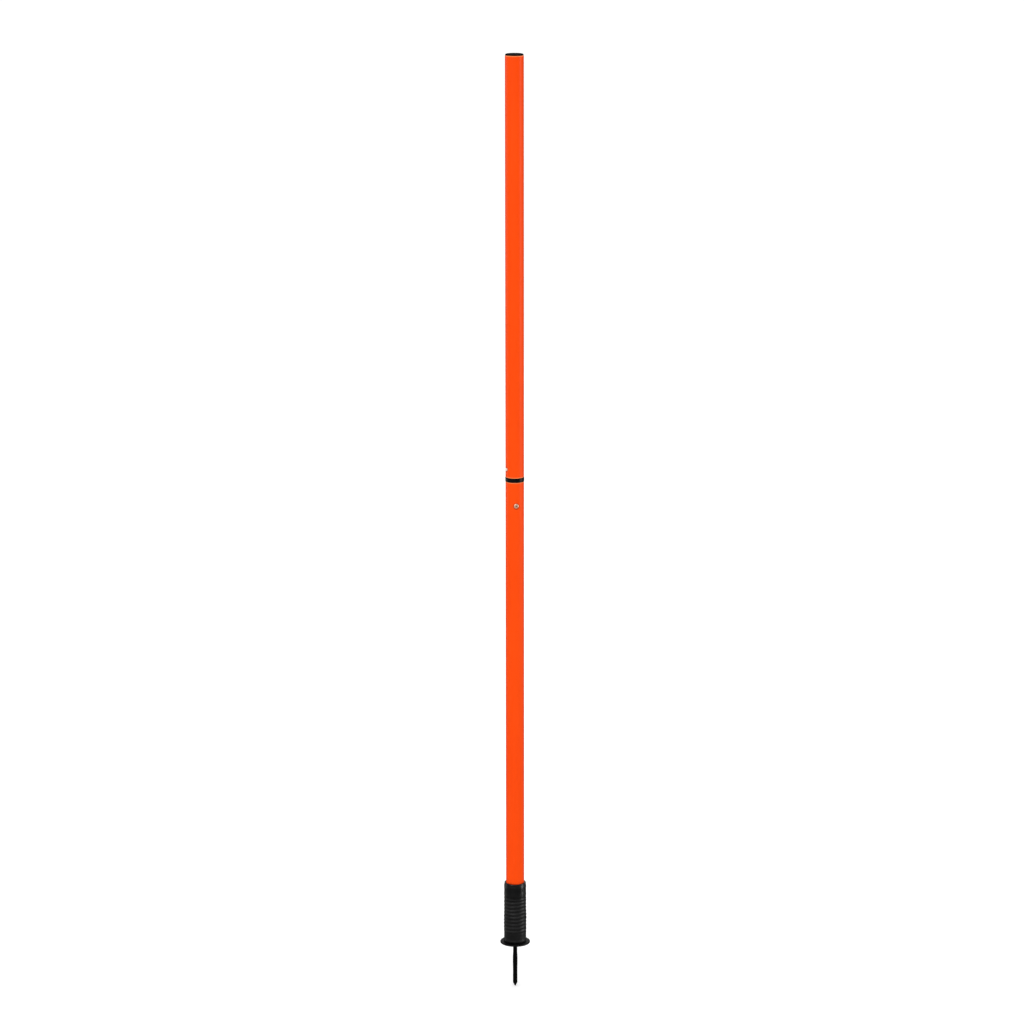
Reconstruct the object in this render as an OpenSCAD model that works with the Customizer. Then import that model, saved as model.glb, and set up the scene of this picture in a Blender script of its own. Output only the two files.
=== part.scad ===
// Slalom pole in two plugged sections on a spring base with a ground spike.
// Millimetres, +Z up. The origin is on the pole's axis at the underside of the
// flange, which is the ground; the front of the pole faces -Y.

/* [Tubes] */
// Outer diameter of both tubes
tube_od = 32; // [31:0.5:34]
// Wall thickness of both tubes
tube_wall = 1.9; // [1.6:0.1:2.1]
// Height of the lower tube's top end above the ground
joint_z = 841.1; // [400:0.1:1000]
// Height of the upper tube's top end above the ground
pole_z = 1574.5; // [1100:0.1:1900]

/* [Coupler] */
// Height of the collar ring between the tubes
collar_h = 7.4; // [4:0.1:12]
// How far the collar stands proud of the tubes, each side
collar_proud = 0.4; // [0:0.1:1.5]
// Length of the spigot that the upper tube lifts off
spigot_up = 60; // [40:1:90]
// Length of the spigot that is riveted in the lower tube
spigot_down = 65; // [55:1:90]
// Running clearance between spigot and tube, radial
spigot_gap = 0.08; // [0.03:0.01:0.1]
// Wall thickness of the spigots
spigot_wall = 2.2; // [1.8:0.1:2.6]

/* [Snap clip] */
// Height of the snap button above the collar
button_up = 14.6; // [12:0.1:30]
// Diameter of the snap button
button_d = 5.2; // [5:0.1:7]
// How far the button's dome stands out of the tube
button_out = 2; // [1:0.1:3]
// Angle of the button round the pole, from the front, to the left
button_side = 62; // [0:1:170]
// Width of the clip's spring strip
strip_w = 8; // [7:0.5:9]
// Thickness of the spring strip
strip_t = 0.7; // [0.5:0.1:0.9]

/* [Rivets] */
// Distance of the joint rivet below the collar
rivet_down = 41.1; // [30:0.1:50]
// Angle of the joint rivet round the pole, from the front, to the right
rivet_side = 9.4; // [0:0.1:90]
// Head diameter of the blind rivets
rivet_head_d = 8; // [7:0.1:9]
// Shank diameter of the blind rivets
rivet_d = 4; // [3.2:0.1:4.8]

/* [Spring] */
// Wire diameter of the coil spring
wire_d = 4.5; // [4:0.1:4.8]
// Outer diameter of the coil spring
coil_od = 36; // [35.6:0.1:36]
// Rise of the spring for each turn
pitch = 6.6; // [6:0.1:6.8]
// Number of turns
coils = 9.8; // [9:0.1:10]
// Angle at which the wire starts, seen from above
coil_start = 175; // [0:5:355]

/* [Sleeve] */
// Outer diameter of the sleeve
sleeve_od = 39.4; // [38.2:0.1:40]
// Height of the sleeve's top rim above the ground
sleeve_top = 113; // [112:0.5:120]
// Depth of the ribs where the coils show through the sleeve
rib = 0.5; // [0.1:0.05:0.6]

/* [Base] */
// Diameter of the flange on the ground
flange_d = 53; // [46:1:80]
// Thickness of the flange
flange_t = 3; // [2.5:0.1:4]

/* [Spike] */
// Length of the spike below the flange
spike_len = 82.3; // [76:0.1:200]
// Diameter of the spike at its thickest
spike_d = 8.5; // [7.4:0.1:8.8]

/* [Hidden] */

$fn = 96;

tube_r = tube_od / 2;
tube_ri = tube_r - tube_wall;
spigot_r = tube_ri - spigot_gap;
spigot_ri = spigot_r - spigot_wall;
collar_r = tube_r + collar_proud;
upper_z = joint_z + collar_h;
button_z = upper_z + button_up;
rivet_z = joint_z - rivet_down;

// the sprung foot of the lower section
coil_z = 16.5;
coil_r = (coil_od - wire_d) / 2;
plug_r = coil_od / 2;
boss_r = coil_r - wire_d / 2 - 0.3;
socket_z = coil_z + pitch * coils + wire_d / 2 + 0.6;
socket_boss_z = socket_z - 10;
socket_floor = 4;
socket_top = sleeve_top - 1.6;
tube_z = socket_z + socket_floor;
socket_rivet_z = socket_z + 16;
socket_seat = 16.9;
sleeve_ri = plug_r + 0.15;
sleeve_r = sleeve_od / 2;
rib_z = 15;
rib_top = socket_z;
collar_top = 14.2;
boss_top = 25;

orange = [0.99, 0.33, 0.08];
black = [0.09, 0.09, 0.095];
boot = [0.12, 0.12, 0.125];
steel = [0.62, 0.63, 0.65];
alloy = [0.80, 0.81, 0.82];

// points of a circular arc, from angle a to angle b
function arc(c, r, a, b, n = 6) =
    [for (i = [0:n]) c + r * [cos(a + (b - a) * i / n), sin(a + (b - a) * i / n)]];

// turns a shape drawn along +X to stand out of the pole at this angle from the
// front, positive to the right
module around(angle) rotate([0, 0, angle - 90]) children();

// a hole drilled from the axis out through one wall
module side_hole(d, z) translate([0, 0, z]) rotate([0, 90, 0]) cylinder(d = d, h = tube_r + 12);

// a body of revolution about +X, from points [distance along X, radius]
module turned_x(points) rotate([0, 90, 0]) rotate_extrude()
    polygon([for (p = points) [p[1], p[0]]]);

// ---------- tubes ----------

module tube(z0, z1) rotate_extrude(convexity = 4) polygon([
    [tube_ri + 0.5, z0], [tube_r - 0.3, z0], [tube_r, z0 + 0.3],
    [tube_r, z1 - 0.4], [tube_r - 0.4, z1], [tube_ri + 0.3, z1],
    [tube_ri, z1 - 0.3], [tube_ri, z0 + 0.5]]);

module upper_tube() color(orange) difference() {
    tube(upper_z, pole_z);
    around(-button_side) side_hole(button_d + 0.6, button_z);
}

module lower_tube() color(orange) difference() {
    tube(tube_z, joint_z);
    around(rivet_side) side_hole(rivet_d + 0.1, rivet_z);
    around(180) side_hole(rivet_d + 0.1, socket_rivet_z);
}

// plug in the tube's end, with three thin rings that grip the bore, a shallow dish
// in its face and the dimple of the moulding gate in the middle
module top_cap() color(black) rotate_extrude(convexity = 6) {
    r = tube_r - 0.4;
    top = pole_z + 2.4;
    g = tube_ri - 0.06;
    s = tube_ri - 0.5;
    polygon(concat(
        [[0, pole_z], [tube_ri - 3, pole_z], [tube_ri - 3, pole_z - 22],
         [s - 0.8, pole_z - 22], [s, pole_z - 20.5]],
        [for (i = [0:2]) each [[s, pole_z - 17 + 5 * i], [g, pole_z - 16.4 + 5 * i],
            [g, pole_z - 15.9 + 5 * i], [s, pole_z - 15.6 + 5 * i]]],
        [[s, pole_z], [r - 0.25, pole_z], [r, pole_z + 0.25]],
        arc([r - 1.7, top - 1.7], 1.7, 0, 90),
        [[r - 3.2, top], [r - 3.5, top - 0.25], [1.7, top - 0.25], [1.5, top - 0.5], [0, top - 0.5]]));
}

// ---------- coupler ----------

module coupler() color(black) difference() {
    rotate_extrude(convexity = 6) polygon(concat(
        [[spigot_ri, joint_z - spigot_down], [spigot_r - 1, joint_z - spigot_down],
         [spigot_r, joint_z - spigot_down + 2], [spigot_r, joint_z]],
        arc([collar_r - 0.7, joint_z + 0.7], 0.7, -90, 0),
        arc([collar_r - 0.7, upper_z - 0.7], 0.7, 0, 90),
        [[spigot_r, upper_z], [spigot_r, upper_z + spigot_up - 3],
         [spigot_r - 1.2, upper_z + spigot_up], [spigot_ri, upper_z + spigot_up]]));
    around(-button_side) side_hole(button_d + 0.4, button_z);
    around(rivet_side) side_hole(rivet_d + 0.1, rivet_z);
}

// ---------- snap clip: one strip of spring steel, bent to a V, with a drawn button ----------

function unit(v) = v / norm(v);
// the normal of a path at point i, averaged over its two neighbours
function side(path, i) = let (
    a = path[max(i - 1, 0)], b = path[min(i + 1, len(path) - 1)], d = unit(b - a))
    [-d[1], d[0]];

module snap_clip() color(alloy) around(-button_side) {
    x = sqrt(pow(spigot_ri, 2) - pow(strip_w / 2, 2)) - strip_t / 2 - 0.1;
    bend = 2.6;
    path = concat(
        [[x, button_z + 6.5], [x, button_z - 11], [x - 0.35, button_z - 12.5]],
        [for (p = arc([0, button_z - 34.5], bend, -18, -162, 10)) p],
        [[-x + 0.35, button_z - 12.5], [-x, button_z - 11], [-x, button_z + 6.5]]);
    t = strip_t / 2;
    crown = tube_r + button_out;
    r = button_d / 2;
    difference() {
        union() {
            rotate([90, 0, 0]) linear_extrude(strip_w, center = true) polygon(concat(
                [for (i = [0:len(path) - 1]) path[i] + t * side(path, i)],
                [for (i = [len(path) - 1:-1:0]) path[i] - t * side(path, i)]));
            translate([0, 0, button_z]) turned_x(concat(
                [[x, 0], [x, r + 0.3], [x + t, r + 0.3], [x + t + 0.3, r]],
                [for (a = [0:15:90]) [crown - 1.6 + 1.6 * sin(a), r * cos(a)]]));
        }
        translate([0, 0, button_z]) turned_x(concat(
            [[x - t - 1, 0], [x - t - 1, r - 0.6]],
            [for (a = [0:15:90]) [crown - 2.3 + 1.6 * sin(a), (r - 0.6) * cos(a)]]));
    }
}

// ---------- blind rivets: seat is the radius under the head, back the inner wall's ----------

module blind_rivet(seat, back, low = false) {
    r = rivet_head_d / 2;
    h = low ? 0.4 : 0.3;
    difference() {
        union() {
            // the head, bedded on the round wall, or flat on the floor of a recess
            difference() {
                bed = low ? seat : seat - 0.8;
                turned_x(concat([[bed, 0], [bed, r], [seat + h, r]],
                    [for (a = [15:15:75]) [seat + h + (low ? 0.5 : 0.85) * sin(a), r * cos(a)]],
                    [[seat + (low ? 0.9 : 1.15), 0]]));
                if (!low) cylinder(r = seat, h = 20, center = true);
            }
            turned_x([[back - 1.6, 0], [back - 1.6, rivet_d / 2], [seat + 0.2, rivet_d / 2], [seat + 0.2, 0]]);
            // the tail, spread against the inner wall
            intersection() {
                turned_x([[back - 2.4, 0], [back - 2.4, 2.2], [back - 1.9, 2.9], [back - 1.2, 3.1],
                    [back + 0.5, 3.1], [back + 0.5, 0]]);
                cylinder(r = back, h = 20, center = true);
            }
        }
        // the hole through it, with a dished mouth in the head
        m = seat + (low ? 0.9 : 1.15);
        turned_x([[back - 3, 0], [back - 3, 1.15], [m - 0.6, 1.15], [m - 0.1, 1.5], [m + 1, 1.7], [m + 1, 0]]);
    }
}

// the stem that set the rivet, broken off below the head's mouth
module mandrel(seat, back) turned_x([[back - 3.6, 0], [back - 3.6, 1.1], [back - 3.2, 1.7],
    [back - 2.4, 1.7], [back - 2.4, 1.1], [seat - 0.5, 1.1], [seat - 0.2, 0.6], [seat - 0.2, 0]]);

module joint_rivet() color(alloy) around(rivet_side) translate([0, 0, rivet_z])
    blind_rivet(tube_r, spigot_ri);

module joint_rivet_mandrel() color(steel) around(rivet_side) translate([0, 0, rivet_z])
    mandrel(tube_r, spigot_ri);

module socket_rivet() color(alloy) around(180) translate([0, 0, socket_rivet_z])
    blind_rivet(socket_seat, tube_ri, true);

module socket_rivet_mandrel() color(steel) around(180) translate([0, 0, socket_rivet_z])
    mandrel(socket_seat, tube_ri);

// ---------- spring foot ----------

// a round wire wound as a helix; r is the radius of its centre line
module helix(r, d, z, n, rise, sides = 10, steps = 20) {
    count = ceil(n * steps);
    ring = [for (k = [0:sides - 1]) [cos(360 * k / sides), sin(360 * k / sides)]];
    points = [for (i = [0:count]) let (a = 360 * n * i / count, h = z + rise * n * i / count)
        for (q = ring) [(r + q[0] * d / 2) * cos(a), (r + q[0] * d / 2) * sin(a), h + q[1] * d / 2]];
    faces = concat(
        [[for (k = [0:sides - 1]) k]],
        [for (i = [0:count - 1]) for (k = [0:sides - 1]) let (l = (k + 1) % sides)
            each [[i * sides + k, (i + 1) * sides + k, (i + 1) * sides + l],
                  [i * sides + k, (i + 1) * sides + l, i * sides + l]]],
        [[for (k = [sides - 1:-1:0]) count * sides + k]]);
    polyhedron(points, faces, convexity = 8);
}

module coil_spring() color(steel) rotate([0, 0, coil_start])
    helix(coil_r, wire_d, coil_z, coils, pitch);

// an interrupted thread on a boss: one lug each sixth of a turn, halfway between
// two turns of the spring, from this turn on
module lugs(turn, count) for (i = [0:count - 1]) {
    t = turn + i / 6;
    rotate([0, 0, coil_start + 360 * t]) translate([boss_r - 1, -2.2, coil_z + pitch * (t + 0.5) - 0.4])
        cube([2.6, 4.4, 0.8]);
}

module spring_socket() color(black) difference() {
    union() {
        rotate_extrude(convexity = 6) polygon([
            [9.5, socket_boss_z], [boss_r - 1.6, socket_boss_z], [boss_r, socket_boss_z + 2],
            [boss_r, socket_z], [plug_r - 0.5, socket_z], [plug_r, socket_z + 0.5],
            [plug_r, socket_top - 0.6], [plug_r - 0.6, socket_top],
            [tube_r + 0.05, socket_top], [tube_r + 0.05, tube_z], [9.5, tube_z]]);
        lugs(coils - 1.3, 3);
    }
    around(180) side_hole(rivet_d + 0.1, socket_rivet_z);
    around(180) translate([socket_seat, 0, socket_rivet_z]) rotate([0, 90, 0])
        cylinder(d = rivet_head_d + 0.4, h = 6);
}

module base_plug() color(black) difference() {
    union() {
        rotate_extrude(convexity = 6) polygon(concat(
            [[0, 0]],
            arc([flange_d / 2 - 1, 1], 1, -90, 0),
            arc([flange_d / 2 - 1.4, flange_t - 1.4], 1.4, 0, 90),
            [[plug_r + 0.6, flange_t], [plug_r, flange_t + 0.6], [plug_r, collar_top - 0.5],
             [plug_r - 0.5, collar_top], [boss_r, collar_top], [boss_r, boss_top - 2],
             [boss_r - 1.6, boss_top], [9.5, boss_top], [9.5, boss_top - 1.5], [0, boss_top - 1.5]]));
        lugs(0, 4);
    }
    // recess round the spike's shoulder, its bore, and the moulded-in insert's place
    translate([0, 0, -1]) cylinder(r = 4.6, h = 2);
    translate([0, 0, -1]) cylinder(r = 3.1, h = 22.5);
    translate([0, 0, 7]) cylinder(r = 6.35, h = 12, $fn = 6);
}

module spike_insert() color(steel) translate([0, 0, 7]) difference() {
    cylinder(r = 6.35, h = 12, $fn = 6);
    translate([0, 0, -1]) cylinder(r = 3, h = 14);
}

// the stud's thread is drawn as rings of one millimetre pitch
module ground_spike() color(black) rotate_extrude(convexity = 4) {
    r = spike_d / 2;
    polygon(concat(
        [[0, 20], [2.2, 20]],
        [for (i = [0:13]) each [[2.45, 19.5 - i], [2.95, 19 - i]]],
        [[2.95, 1], [r - 0.475, 1], [r - 0.475, -19], [r - 0.1, -26], [r, -29], [r, -38],
         [r - 0.25, -50], [r - 0.25, -75.5], [r - 0.7, -76.6]],
        [[1, 0.5 - spike_len], [0.55, 0.1 - spike_len], [0, -spike_len]]));
}

// rubber sleeve, with the coils telling through as shallow ribs
module spring_sleeve() color(boot) rotate_extrude(convexity = 6) {
    n = round((rib_top - rib_z) / pitch);
    step = (rib_top - rib_z) / n;
    polygon(concat(
        [[sleeve_ri + 0.6, flange_t], [sleeve_r + 0.4, flange_t], [sleeve_r + 0.6, flange_t + 0.5],
         [sleeve_r + 0.6, flange_t + 1.2], [sleeve_r, flange_t + 6]],
        [for (i = [0:n * 4]) [sleeve_r - 0.05 + rib * (0.5 - 0.5 * cos(90 * i)), rib_z + step * i / 4]],
        [[sleeve_r, rib_top + 4], [sleeve_r, sleeve_top - 6]],
        arc([sleeve_r - 1.8, sleeve_top - 1.3], 1.3, 0, 90),
        [[tube_r + 0.15, sleeve_top], [tube_r + 0.15, socket_top + 0.15],
         [plug_r - 0.45, socket_top + 0.15], [sleeve_ri, socket_top - 0.55],
         [sleeve_ri, flange_t + 0.8]]));
}

top_cap();
upper_tube();
coupler();
snap_clip();
joint_rivet();
joint_rivet_mandrel();
lower_tube();
spring_socket();
socket_rivet();
socket_rivet_mandrel();
coil_spring();
spring_sleeve();
base_plug();
spike_insert();
ground_spike();
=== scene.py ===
import math

import bmesh
import bpy
import numpy as np
from mathutils import Euler, Matrix, Vector


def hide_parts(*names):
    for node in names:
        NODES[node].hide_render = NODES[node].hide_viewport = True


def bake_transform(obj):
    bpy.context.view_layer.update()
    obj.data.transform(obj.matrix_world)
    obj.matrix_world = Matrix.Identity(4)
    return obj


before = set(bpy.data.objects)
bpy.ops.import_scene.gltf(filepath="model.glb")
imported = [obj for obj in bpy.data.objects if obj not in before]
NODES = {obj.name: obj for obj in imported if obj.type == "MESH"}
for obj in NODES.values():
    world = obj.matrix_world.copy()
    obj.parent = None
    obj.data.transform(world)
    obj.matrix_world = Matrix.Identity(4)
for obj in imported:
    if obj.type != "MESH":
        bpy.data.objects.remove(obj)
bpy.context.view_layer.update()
MM = 0.001

# Places repeated from the CAD source, in millimetres.
PITCH = 6.6
COIL_Z = 16.5
COIL_R = 15.75
COILS = 9.8
COIL_START = math.radians(175.0)
WIRE_R = 2.25
TUBE_R = 16.0
TUBE_RI = 14.1
JOINT_Z = 841.1
UPPER_Z = 848.5
POLE_Z = 1574.5
BUTTON_Z = 863.1
BUTTON_SIDE = -62.0
RIVET_Z = 800.0
RIVET_SIDE = 9.4
SLEEVE_Z0 = 3.0
SLEEVE_TOP = 113.0
SPLIT_Z = 50.0

CAMERA_ROLL = math.radians(-0.062)


def out_of_pole(angle):
    """Unit vector that stands out of the pole at this angle from the front, positive to the right."""
    a = math.radians(angle)
    return Vector((math.sin(a), -math.cos(a), 0.0))


# ---------------------------------------------------------------- camera

cam_data = bpy.data.cameras.new("camera")
cam = bpy.data.objects.new("camera", cam_data)
bpy.context.scene.collection.objects.link(cam)
cam.location = (-0.0048, -6.064, 2.2083)
# the photograph leans by a sixteenth of a degree
level = Euler((math.radians(76.8), 0.0, 0.0)).to_matrix()
cam.rotation_euler = (level @ Matrix.Rotation(CAMERA_ROLL, 3, "Z")).to_euler()
cam_data.sensor_width = 36.0
cam_data.lens = 3600.0 / 1024.0 * 36.0
cam_data.clip_start = 0.1
cam_data.clip_end = 200.0
bpy.context.scene.camera = cam


# ---------------------------------------------------------------- materials


class Mat:
    """A material with one principled shader, and short calls to wire procedural nodes into it."""

    def __init__(self, name, color, roughness, metallic=0.0, specular=0.5):
        self.m = bpy.data.materials.new(name)
        self.m.use_nodes = True
        self.t = self.m.node_tree
        self.p = self.t.nodes["Principled BSDF"]
        self.p.inputs["Base Color"].default_value = (*color, 1.0)
        self.p.inputs["Roughness"].default_value = roughness
        self.p.inputs["Metallic"].default_value = metallic
        self.p.inputs["Specular IOR Level"].default_value = specular
        self.coords = self.add("ShaderNodeTexCoord").outputs["Object"]

    def add(self, kind):
        return self.t.nodes.new(kind)

    def link(self, a, b):
        self.t.links.new(a, b)
        return b

    def stretched(self, scale=(1, 1, 1), rotation=(0, 0, 0)):
        n = self.add("ShaderNodeMapping")
        n.inputs["Scale"].default_value = scale
        n.inputs["Rotation"].default_value = rotation
        self.link(self.coords, n.inputs["Vector"])
        return n.outputs["Vector"]

    def noise(self, scale, detail=3.0, rough=0.5, vector=None, distortion=0.0):
        n = self.add("ShaderNodeTexNoise")
        n.inputs["Scale"].default_value = scale
        n.inputs["Detail"].default_value = detail
        n.inputs["Roughness"].default_value = rough
        n.inputs["Distortion"].default_value = distortion
        self.link(self.coords if vector is None else vector, n.inputs["Vector"])
        return n.outputs[0]

    def spread(self, value, a, b, to_a=0.0, to_b=1.0, smooth=False):
        n = self.add("ShaderNodeMapRange")
        n.interpolation_type = "SMOOTHSTEP" if smooth else "LINEAR"
        n.inputs["From Min"].default_value = a
        n.inputs["From Max"].default_value = b
        n.inputs["To Min"].default_value = to_a
        n.inputs["To Max"].default_value = to_b
        self.link(value, n.inputs["Value"])
        return n.outputs["Result"]

    def math(self, op, a, b=0.5, c=None):
        n = self.add("ShaderNodeMath")
        n.operation = op
        for i, v in enumerate([a, b] if c is None else [a, b, c]):
            if isinstance(v, (int, float)):
                n.inputs[i].default_value = v
            else:
                self.link(v, n.inputs[i])
        return n.outputs[0]

    def mix(self, factor, a, b):
        n = self.add("ShaderNodeMix")
        n.data_type = "RGBA"
        for i, v in ((0, factor), (6, a), (7, b)):
            if isinstance(v, tuple):
                n.inputs[i].default_value = (*v, 1.0)
            elif isinstance(v, (int, float)):
                n.inputs[i].default_value = v
            else:
                self.link(v, n.inputs[i])
        return n.outputs[2]

    def axis(self, which):
        n = self.add("ShaderNodeSeparateXYZ")
        self.link(self.coords, n.inputs[0])
        return n.outputs[which]

    def distance(self, point):
        n = self.add("ShaderNodeVectorMath")
        n.operation = "DISTANCE"
        self.link(self.coords, n.inputs[0])
        n.inputs[1].default_value = point
        return n.outputs["Value"]

    def bump(self, height, depth, strength=1.0, normal=None):
        n = self.add("ShaderNodeBump")
        n.inputs["Strength"].default_value = strength
        n.inputs["Distance"].default_value = depth
        self.link(height, n.inputs["Height"])
        if normal is not None:
            self.link(normal, n.inputs["Normal"])
        return n.outputs["Normal"]

    def finish(self, color=None, roughness=None, normal=None, metallic=None):
        for v, name in (
            (color, "Base Color"),
            (roughness, "Roughness"),
            (normal, "Normal"),
            (metallic, "Metallic"),
        ):
            if v is not None:
                self.link(v, self.p.inputs[name])
        return self.m


ORANGE = (0.96, 0.072, 0.0016)
ORANGE_DEEP = (0.94, 0.064, 0.0013)
# colour of the painted highlight along the tube ends
ORANGE_END_HIGHLIGHT = (0.98, 0.30, 0.100)


def orange_tube(name, ends, shade_rings):
    """Extruded tube: faint drawing lines along it, slow colour drift, fine handling rubs, a painted highlight along
    the sawn ends, and a soft painted contact shadow, with a little dirt, round each thing that comes through its
    wall."""
    m = Mat(name, ORANGE, 0.32, specular=0.06)
    long_lines = m.noise(1500.0, 2.0, 0.6, m.stretched((1, 1, 0.004)))
    drift = m.noise(7.0, 2.0, 0.5, m.stretched((2.0, 2.0, 0.6)))
    color = m.mix(m.spread(drift, 0.35, 0.65), ORANGE_DEEP, ORANGE)
    color = m.mix(
        m.spread(long_lines, 0.3, 0.7, 0.0, 0.22), color, (0.97, 0.086, 0.003)
    )
    # short rubs from hands and from lying in a bag, mostly along the tube
    rubs_and_highlight = m.noise(260.0, 4.0, 0.7, m.stretched((1.0, 1.0, 0.09)))
    rubbed = m.spread(rubs_and_highlight, 0.66, 0.74)
    color = m.mix(m.math("MULTIPLY", rubbed, 0.16), color, (0.98, 0.16, 0.035))
    z = m.axis(2)
    # painted highlight: the last few millimetres at each sawn end are painted paler, standing in for light caught on
    # the cut edges
    for end, inside in ends:
        pale = m.spread(z, (end - inside) * MM, (end - inside * 0.4) * MM)
        color = m.mix(m.math("MULTIPLY", pale, 0.8), color, ORANGE_END_HIGHLIGHT)
    # painted contact shadow: a dark ring round the button and the rivet, centred lower under the rivet, standing in
    # for their shade on the tube
    for place, r0, r1 in shade_rings:
        shade = m.spread(m.distance(place), r0 * MM, r1 * MM, 0.52, 0.0, smooth=True)
        color = m.mix(shade, color, (0.20, 0.022, 0.004))
    rough = m.math(
        "ADD",
        m.spread(long_lines, 0.2, 0.8, 0.28, 0.36),
        m.math("MULTIPLY", rubbed, 0.12),
    )
    normal = m.bump(long_lines, 0.00003, 0.35)
    normal = m.bump(m.noise(420.0, 2.0, 0.5), 0.00004, 0.15, normal)
    return m.finish(color, rough, normal)


def moulded_black(name, color, specular, roughness, grain=2600.0, depth=0.00003):
    """Injection-moulded plastic: a fine spark-eroded grain, slow sheen changes and a little pale dust."""
    m = Mat(name, color, roughness, specular=specular)
    slow = m.noise(90.0, 3.0, 0.5)
    fine = m.noise(grain, 2.0, 0.6)
    lighter = tuple(c * 1.7 + 0.0012 for c in color)
    tone = m.mix(m.spread(slow, 0.35, 0.7), color, lighter)
    dust = m.spread(m.noise(700.0, 4.0, 0.7), 0.66, 0.78, 0.0, 0.35)
    tone = m.mix(dust, tone, tuple(c + 0.009 for c in color))
    rough = m.spread(slow, 0.3, 0.7, roughness - 0.06, roughness + 0.08)
    return m.finish(tone, rough, m.bump(fine, depth, 0.5))


def rubber(name):
    """Soft sleeve: satin skin with a fine leathery grain, small pale creases round it, and a painted highlight on the
    crests over the coils while the valleys stay dark.
    """
    m = Mat(name, (0.0018, 0.0018, 0.0019), 0.42, specular=0.43)
    slow = m.noise(60.0, 3.0, 0.55)
    crease = m.noise(300.0, 4.0, 0.6, m.stretched((1.0, 1.0, 2.6)), 0.4)
    grain = m.noise(2400.0, 3.0, 0.6)
    tone = m.mix(
        m.spread(slow, 0.35, 0.7), (0.0012, 0.0012, 0.0013), (0.0024, 0.0024, 0.0025)
    )
    # painted highlight: the crests over the coils are painted paler, standing in for the light on their upper slopes;
    # the valleys stay dark
    wear_and_highlight = m.add("ShaderNodeAttribute")
    wear_and_highlight.attribute_name = "crest_highlight"
    tone = m.mix(
        m.math("MULTIPLY", wear_and_highlight.outputs["Fac"], m.spread(grain, 0.3, 0.6, 0.5, 1.0)),
        tone,
        (0.0110, 0.0110, 0.0112),
    )
    tone = m.mix(m.spread(crease, 0.62, 0.8, 0.0, 0.5), tone, (0.012, 0.012, 0.012))
    # the plain band above the coils is the smoothest part
    rough = m.math(
        "ADD",
        m.spread(m.math("ADD", slow, m.math("MULTIPLY", crease, 0.5)), 0.5, 1.0, -0.07, 0.07),
        m.spread(m.axis(2), 0.080, 0.089, 0.51, 0.41, smooth=True),
    )
    normal = m.bump(crease, 0.00018, 0.35)
    normal = m.bump(grain, 0.00004, 0.5, normal)
    return m.finish(tone, rough, normal)


def painted_steel(name):
    """Black coating on the spike, rubbed through at the point and a little along the shank."""
    m = Mat(name, (0.001, 0.001, 0.0011), 0.5, specular=0.08)
    z = m.axis(2)
    scratch = m.noise(700.0, 4.0, 0.7, m.stretched((1.0, 1.0, 0.16)))
    at_point = m.spread(z, -0.0745, -0.0818, 0.0, 0.32)
    wear_and_highlight = m.spread(m.math("ADD", scratch, at_point), 0.80, 0.86)
    tone = m.mix(wear_and_highlight, (0.0009, 0.0009, 0.0010), (0.16, 0.155, 0.15))
    rough = m.spread(m.noise(500.0, 3.0, 0.6), 0.3, 0.7, 0.42, 0.60)
    normal = m.bump(m.noise(1500.0, 3.0, 0.6), 0.00005, 0.5)
    return m.finish(tone, rough, normal, m.math("MULTIPLY", wear_and_highlight, 0.8))


def bare_metal(
    name, color, roughness, scale=1200.0, stretch=(1, 1, 1), metallic=1.0
):
    """Drawn or stamped metal: fine lines from the tool, small stains, roughness that changes with them."""
    m = Mat(name, color, roughness, metallic=metallic)
    lines = m.noise(scale, 3.0, 0.6, m.stretched(stretch))
    stain = m.noise(280.0, 3.0, 0.6)
    tone = m.mix(m.spread(stain, 0.45, 0.75), color, tuple(c * 0.78 for c in color))
    rough = m.math(
        "ADD",
        m.spread(lines, 0.2, 0.8, roughness - 0.07, roughness + 0.07),
        m.spread(stain, 0.5, 0.8, 0.0, 0.1),
    )
    return m.finish(tone, rough, m.bump(lines, 0.00002, 0.4))


BUTTON_AT = tuple(
    out_of_pole(BUTTON_SIDE) * TUBE_R * MM + Vector((0, 0, BUTTON_Z * MM))
)
# the painted contact shadow, with a little dirt, is centred a little below the rivet's head, where its shadow falls
RIVET_SHADE_AT = tuple(
    out_of_pole(RIVET_SIDE) * TUBE_R * MM + Vector((0, 0, (RIVET_Z - 0.8) * MM))
)

m_upper = orange_tube(
    "orange_upper", [(UPPER_Z, -1.9), (POLE_Z, 1.9)], [(BUTTON_AT, 3.0, 5.4)]
)
m_lower = orange_tube("orange_lower", [(JOINT_Z, 1.9)], [(RIVET_SHADE_AT, 4.2, 6.9)])
m_cap = moulded_black("cap_plastic", (0.0022, 0.0022, 0.0023), 0.02, 0.74)
m_coupler = moulded_black("coupler_plastic", (0.0012, 0.0012, 0.0013), 0.13, 0.40)
m_base = moulded_black("base_plastic", (0.0013, 0.0013, 0.0014), 0.15, 0.45)
m_sleeve = rubber("sleeve_rubber_skin")
m_spike = painted_steel("spike_coating")
# the warm peach tint is a painted reflection of the orange tube round the rivet; bare aluminium would be paler grey
m_alloy = bare_metal(
    "rivet_aluminium", (0.99, 0.65, 0.455), 0.36, 900.0, metallic=0.66
)
m_clip = bare_metal(
    "clip_spring_steel", (0.99, 0.80, 0.64), 0.38, 1600.0, (1, 1, 0.1), 0.20
)
# the mandrel stems are coloured near black as painted shade of the rivet holes they sit in; bare steel would be paler
m_stem_shade = bare_metal("stem_steel_painted_shade", (0.030, 0.022, 0.018), 0.50, 1400.0)
m_steel = bare_metal("dull_steel_bare", (0.42, 0.42, 0.43), 0.45, 1400.0)


def dress(obj, material):
    obj.data.materials.clear()
    obj.data.materials.append(material)


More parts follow.
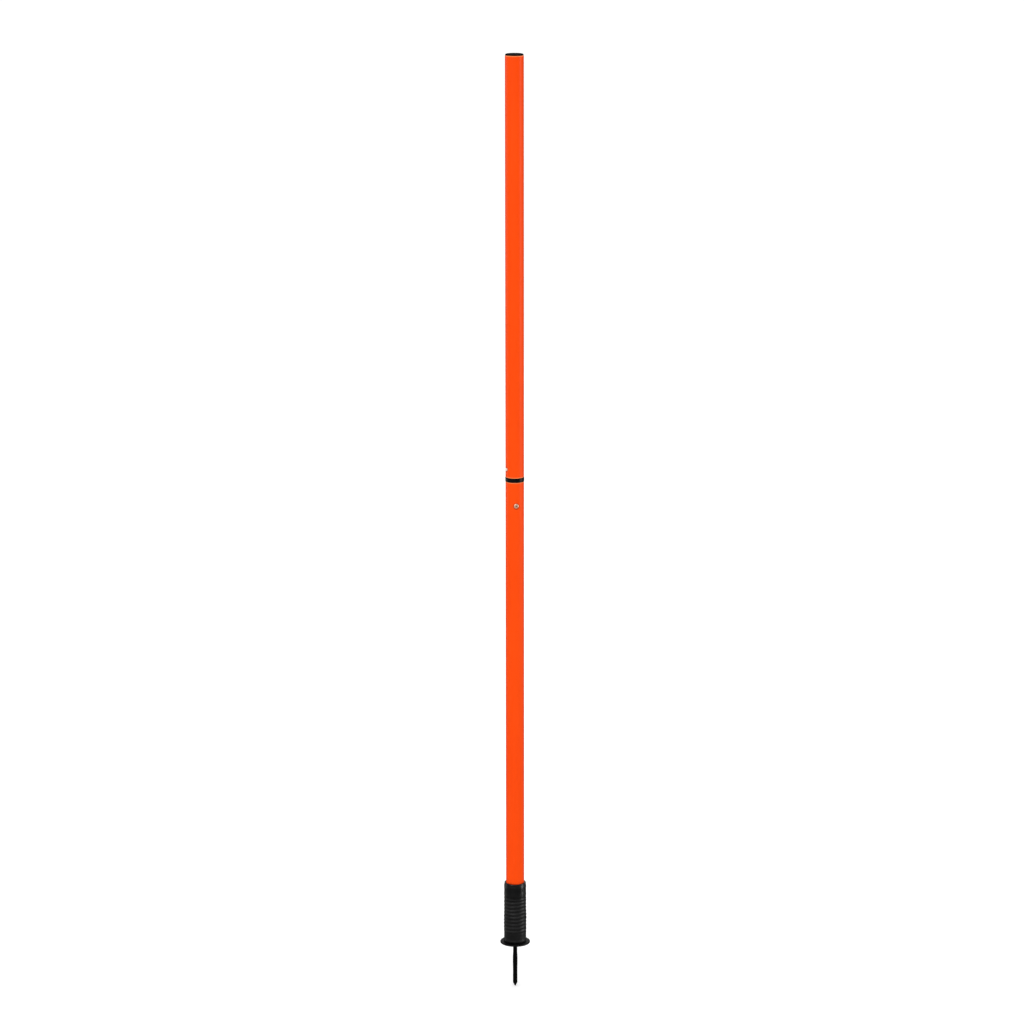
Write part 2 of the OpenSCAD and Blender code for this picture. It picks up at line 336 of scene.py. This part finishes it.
for node, material in (
    ("upper_tube", m_upper),
    ("lower_tube", m_lower),
    ("top_cap", m_cap),
    ("coupler", m_coupler),
    ("spring_socket", m_base),
    ("base_plug", m_base),
    ("ground_spike", m_spike),
    ("joint_rivet", m_alloy),
    ("socket_rivet", m_alloy),
    ("joint_rivet_mandrel", m_stem_shade),
    ("socket_rivet_mandrel", m_stem_shade),
    ("spike_insert", m_steel),
):
    dress(NODES[node], material)


# ---------------------------------------------------------------- mesh building


def make(name, verts, faces, material, normals=None):
    """A mesh object in the row frame from points in metres; normals are one per vertex."""
    me = bpy.data.meshes.new(name)
    me.from_pydata([tuple(map(float, v)) for v in verts], [], faces)
    me.validate()
    me.polygons.foreach_set("use_smooth", [True] * len(me.polygons))
    if normals is not None:
        me.normals_split_custom_set_from_vertices(
            [tuple(map(float, n)) for n in normals]
        )
    me.update()
    o = bpy.data.objects.new(name, me)
    bpy.context.scene.collection.objects.link(o)
    me.materials.append(material)
    return o


def smoothstep(x, a, b):
    t = np.clip((x - a) / (b - a), 0.0, 1.0)
    return t * t * (3 - 2 * t)


# ---------------------------------------------------------------- sleeve

RNG = np.random.default_rng(7)
WAVES = [
    (int(k), float(f), float(p), float(a))
    for k, f, p, a in zip(
        RNG.integers(1, 5, 9),
        RNG.uniform(0.04, 0.28, 9),
        RNG.uniform(0, 2 * math.pi, 9),
        RNG.uniform(0.3, 1.0, 9),
    )
]


def drift(theta, z):
    """A slow wobble that closes on itself round the sleeve, about -1 to 1."""
    v = sum(a * np.sin(k * theta + f * z + p) for k, f, p, a in WAVES)
    return v / 3.0


def crests(theta, z):
    """How far the skin is lifted by the coils under it, 0 in the valleys to about 1 on the crests."""
    phase = 2 * math.pi * (z - COIL_Z) / PITCH - (theta - COIL_START)
    phase = phase + 0.26 * drift(theta + 1.0, z * 0.7)
    depth = smoothstep(z, 15, 28) * (1 - smoothstep(z, 79, 82.5))
    depth = depth * (0.88 + 0.24 * drift(theta, z * 1.3))
    return depth * (0.5 + 0.5 * np.cos(phase)) ** 1.25


def sleeve_radius(theta, z):
    """Outer radius of the sleeve, in mm: a skin stretched over the coils, with a plain band above and a hem below."""
    body = 19.26 + 0.34 * (1 - smoothstep(z, 46, 62))
    ribs = 0.60 * crests(theta, z)
    band = smoothstep(z, 84, 90) * (
        0.22 + 0.07 * np.cos(2 * math.pi * (z - 105.7) / 14.8) + 0.05 * drift(theta, z * 1.6)
    )
    # edge of the socket telling through like one more coil, with a dip above it
    band = band + 0.42 * np.exp(-(((z - 83.6) / 1.4) ** 2)) * (1.0 + 0.25 * drift(theta, z))
    band = band - 0.10 * np.exp(-(((z - 87.2) / 0.9) ** 2))
    band = band + 0.09 * np.exp(-(((z - 90.2) / 0.9) ** 2))
    # the top is drawn in a little, and the bottom ends in a soft bead
    top = -0.5 * smoothstep(z, SLEEVE_TOP - 7.5, SLEEVE_TOP - 2.0)
    bead = 0.50 * np.exp(-(((z - 6.0) / 2.3) ** 2)) - 0.55 * (1 - smoothstep(z, 3.0, 5.6))
    groove = -0.08 * np.exp(-(((z - 10.6) / 0.7) ** 2))
    # parting line of the mould, a shallow valley down each of two opposite sides
    for at in (-90.0 - 42.3, 90.0 - 42.3):
        d = np.angle(np.exp(1j * (theta - math.radians(at)))) * 19.3
        groove = groove - 0.13 * np.exp(-((d / 0.55) ** 2)) * smoothstep(z, 6, 10) * (
            1 - smoothstep(z, 104, 109)
        )
    return np.minimum(
        body + ribs + band + top + bead + groove + 0.04 * drift(theta + 2, z), 20.3
    )


def sleeve_profile():
    """Rows of (z, offset in mm added to the sleeve's outer radius) from the bottom edge up the outside and over the
    rim.
    """
    rows = [(SLEEVE_Z0, -0.30), (SLEEVE_Z0 + 0.12, -0.1), (SLEEVE_Z0 + 0.4, 0.0)]
    zs = np.arange(SLEEVE_Z0 + 0.8, SLEEVE_TOP - 1.3, 0.4)
    zs = np.unique(np.concatenate([zs, [SPLIT_Z, SLEEVE_TOP - 1.3]]).round(3))
    keep = [z for z in zs if abs(z - SPLIT_Z) < 1e-6 or abs(z - SPLIT_Z) > 0.15]
    rows += [(z, 0.0) for z in keep]
    for a in np.linspace(12, 90, 9):
        c, s = math.cos(math.radians(a)), math.sin(math.radians(a))
        rows.append((SLEEVE_TOP - 1.3 + 1.3 * s, -1.3 * (1 - c)))
    return rows


def build_sleeve():
    n = 288
    theta = np.linspace(0, 2 * math.pi, n, endpoint=False)
    rows = sleeve_profile()
    grid = []
    for z, off in rows:
        grid.append((np.full(n, z), sleeve_radius(theta, np.full(n, z)) + off))
    # rim, lip and inner wall, going down
    rim = SLEEVE_TOP
    inner = [
        (rim, 16.75),
        (rim - 0.06, 16.4),
        (rim - 0.28, 16.18),
        (rim - 0.7, 16.15),
        (rim - 1.45, 16.15),
        (rim - 1.45, 17.2),
        (rim - 1.45, 18.15),
    ]
    inner += [(z, 18.15) for z in np.arange(rim - 4.0, SPLIT_Z + 1.0, -3.0)]
    inner += [(SPLIT_Z, 18.15)]
    inner += [(z, 18.15) for z in np.arange(SPLIT_Z - 3.0, SLEEVE_Z0 + 2.0, -3.0)]
    inner += [(SLEEVE_Z0 + 0.8, 18.15), (SLEEVE_Z0, 18.75)]
    for z, r in inner:
        grid.append((np.full(n, z), np.full(n, r)))
    z = np.array([g[0] for g in grid])
    r = np.array([g[1] for g in grid])
    pts = np.stack([r * np.cos(theta), r * np.sin(theta), z], -1) * MM
    # smooth normals of the whole closed skin, so that the two halves shade as one
    around = np.roll(pts, -1, 1) - np.roll(pts, 1, 1)
    along = np.roll(pts, -1, 0) - np.roll(pts, 1, 0)
    normal = np.cross(around, along)
    normal /= np.linalg.norm(normal, axis=-1, keepdims=True)
    # weight of the painted highlight on the crests, handed to the sleeve material as a point attribute
    crest_highlight_amount = np.array(
        [
            crests(theta, z[i]) ** 1.7 if i < len(rows) else np.zeros(n)
            for i in range(len(grid))
        ]
    )
    count = len(grid)
    outer_cut = [i for i in range(len(rows)) if abs(z[i, 0] - SPLIT_Z) < 1e-6][0]
    inner_cut = [
        i for i in range(len(rows), count) if abs(z[i, 0] - SPLIT_Z) < 1e-6
    ][0]

    def half(name, ring_ids):
        """Closed ring solid through these rows, in order; the cut closes with a flat ring."""
        index = {row: k for k, row in enumerate(ring_ids)}
        verts = np.concatenate([pts[i] for i in ring_ids])
        norms = np.concatenate([normal[i] for i in ring_ids])
        faces = []
        order = ring_ids + [ring_ids[0]]
        for a, b in zip(order[:-1], order[1:]):
            ka, kb = index[a] * n, index[b] * n
            for j in range(n):
                l = (j + 1) % n
                faces.append((ka + j, ka + l, kb + l, kb + j))
        o = make(name, verts, faces, m_sleeve, norms)
        # crest weight for the painted highlight on the sleeve
        rubs_and_highlight = o.data.attributes.new("crest_highlight", "FLOAT", "POINT")
        rubs_and_highlight.data.foreach_set(
            "value",
            np.concatenate([crest_highlight_amount[i] for i in ring_ids]).astype(np.float32),
        )
        return o

    lower = half(
        "sleeve_lower", list(range(0, outer_cut + 1)) + list(range(inner_cut, count))
    )
    upper = half("sleeve_upper", list(range(outer_cut, inner_cut + 1)))
    return lower, upper


sleeve_lower, sleeve_upper = build_sleeve()
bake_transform(sleeve_lower)
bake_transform(sleeve_upper)
for piece in (sleeve_lower, sleeve_upper):
    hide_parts("spring_sleeve")


# ---------------------------------------------------------------- coil spring


def build_coil(name, turn0, turn1, sides=18, steps=44):
    """Round wire wound right-handed, from turn0 to turn1, with its ends closed by flat faces."""
    count = int(round((turn1 - turn0) * steps))
    verts, norms = [], []
    for i in range(count + 1):
        t = turn0 + (turn1 - turn0) * i / count
        a = 2 * math.pi * t + COIL_START
        rise = PITCH / (2 * math.pi * COIL_R)
        u = Vector((math.cos(a), math.sin(a), 0))
        d = Vector((-math.sin(a), math.cos(a), rise)).normalized()
        w = d.cross(u) * -1.0
        c = u * COIL_R + Vector((0, 0, COIL_Z + PITCH * t))
        for k in range(sides):
            b = 2 * math.pi * k / sides
            nrm = u * math.cos(b) + w * math.sin(b)
            verts.append((c + nrm * (WIRE_R - 0.01)) * MM)
            norms.append(nrm)
    faces = []
    for i in range(count):
        for k in range(sides):
            l = (k + 1) % sides
            p, q = i * sides, (i + 1) * sides
            faces.append((p + k, p + l, q + l, q + k))
    faces.append(tuple(range(sides - 1, -1, -1)))
    faces.append(tuple(count * sides + k for k in range(sides)))
    o = make(name, verts, faces, m_steel)
    bm = bmesh.new()
    bm.from_mesh(o.data)
    bmesh.ops.recalc_face_normals(bm, faces=bm.faces)
    bm.to_mesh(o.data)
    bm.free()
    for f in o.data.polygons:
        f.use_smooth = len(f.vertices) == 4
    return o


split_turn = (SPLIT_Z - COIL_Z) / PITCH
coil_lower = build_coil("coil_lower", 0.0, split_turn)
coil_upper = build_coil("coil_upper", split_turn, COILS)
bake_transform(coil_lower)
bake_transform(coil_upper)
for piece in (coil_lower, coil_upper):
    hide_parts("coil_spring")


# ---------------------------------------------------------------- snap clip

clip_mesh = NODES["snap_clip"].data.copy()
clip_mesh.name = "snap_clip_strip"
clip = bpy.data.objects.new("snap_clip_strip", clip_mesh)
bpy.context.scene.collection.objects.link(clip)
dress(clip, m_clip)
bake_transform(clip)
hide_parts("snap_clip")


# ---------------------------------------------------------------- stage and light

floor_mesh = bpy.data.meshes.new("floor")
floor_mesh.from_pydata(
    [(-60, -60, 0), (60, -60, 0), (60, 60, 0), (-60, 60, 0)], [], [(0, 1, 2, 3)]
)
floor = bpy.data.objects.new("floor", floor_mesh)
bpy.context.scene.collection.objects.link(floor)
floor.location = (0, 0, -0.0826)
floor_mat = Mat("floor_paper", (0.86, 0.86, 0.86), 0.9, specular=0.0)
floor_mat.p.inputs["Emission Color"].default_value = (1, 1, 1, 1)
floor_mat.p.inputs["Emission Strength"].default_value = 0.32
floor_mesh.materials.append(floor_mat.m)

floor.visible_glossy = False

# A light tent for diffuse light, dark for reflections apart from the panels, white behind the object.
world = bpy.data.worlds.new("studio")
bpy.context.scene.world = world
world.use_nodes = True
tree = world.node_tree
for nd in list(tree.nodes):
    tree.nodes.remove(nd)
out = tree.nodes.new("ShaderNodeOutputWorld")
path = tree.nodes.new("ShaderNodeLightPath")


def background(strength):
    n = tree.nodes.new("ShaderNodeBackground")
    n.inputs["Color"].default_value = (1, 1, 1, 1)
    n.inputs["Strength"].default_value = strength
    return n.outputs[0]


def choose(ray, otherwise, then):
    n = tree.nodes.new("ShaderNodeMixShader")
    tree.links.new(path.outputs[ray], n.inputs[0])
    tree.links.new(otherwise, n.inputs[1])
    tree.links.new(then, n.inputs[2])
    return n.outputs[0]


tree.links.new(
    choose(
        "Is Camera Ray",
        choose("Is Glossy Ray", background(0.44), background(0.13)),
        background(1.0),
    ),
    out.inputs["Surface"],
)


def panel(name, azimuth, elevation, distance, size, radiance, diffuse=True):
    """A soft rectangular light aimed at the middle of the pole, azimuth 0 at the front and positive to the right."""
    a, e = math.radians(azimuth), math.radians(elevation)
    target = Vector((0, 0, 0.72))
    to = Vector((math.sin(a) * math.cos(e), -math.cos(a) * math.cos(e), math.sin(e)))
    data = bpy.data.lights.new(name, "AREA")
    data.shape = "RECTANGLE"
    data.size, data.size_y = size
    data.energy = radiance * math.pi * size[0] * size[1]
    o = bpy.data.objects.new(name, data)
    bpy.context.scene.collection.objects.link(o)
    o.location = target + to * distance
    o.rotation_euler = (-to).to_track_quat("-Z", "Y").to_euler()
    o.visible_camera = False
    o.visible_diffuse = diffuse
    return o


panel("front_panel", -3, 24, 5.4, (4.6, 2.6), 1.58)
panel("key_box", -38, 30, 4.6, (2.0, 2.0), 9.2, diffuse=False)
panel("back_panel", 168, 25, 5.4, (4.6, 2.6), 1.25)
panel("right_strip", 82, -1, 3.2, (0.5, 3.4), 15.0, diffuse=False)
panel("left_strip", -112, -1, 3.2, (0.5, 3.4), 5.4, diffuse=False)
sun_data = bpy.data.lights.new("top_light", "SUN")
sun_data.energy = 1.3
sun_data.angle = math.radians(75)
sun = bpy.data.objects.new("top_light", sun_data)
bpy.context.scene.collection.objects.link(sun)
sun.rotation_euler = (math.radians(12), math.radians(-6), 0)
sun.visible_glossy = False

bpy.context.scene.view_settings.view_transform = "Standard"
bpy.context.scene.view_settings.look = "None"
bpy.context.scene.view_settings.exposure = 0.0
bpy.context.scene.view_settings.gamma = 1.0
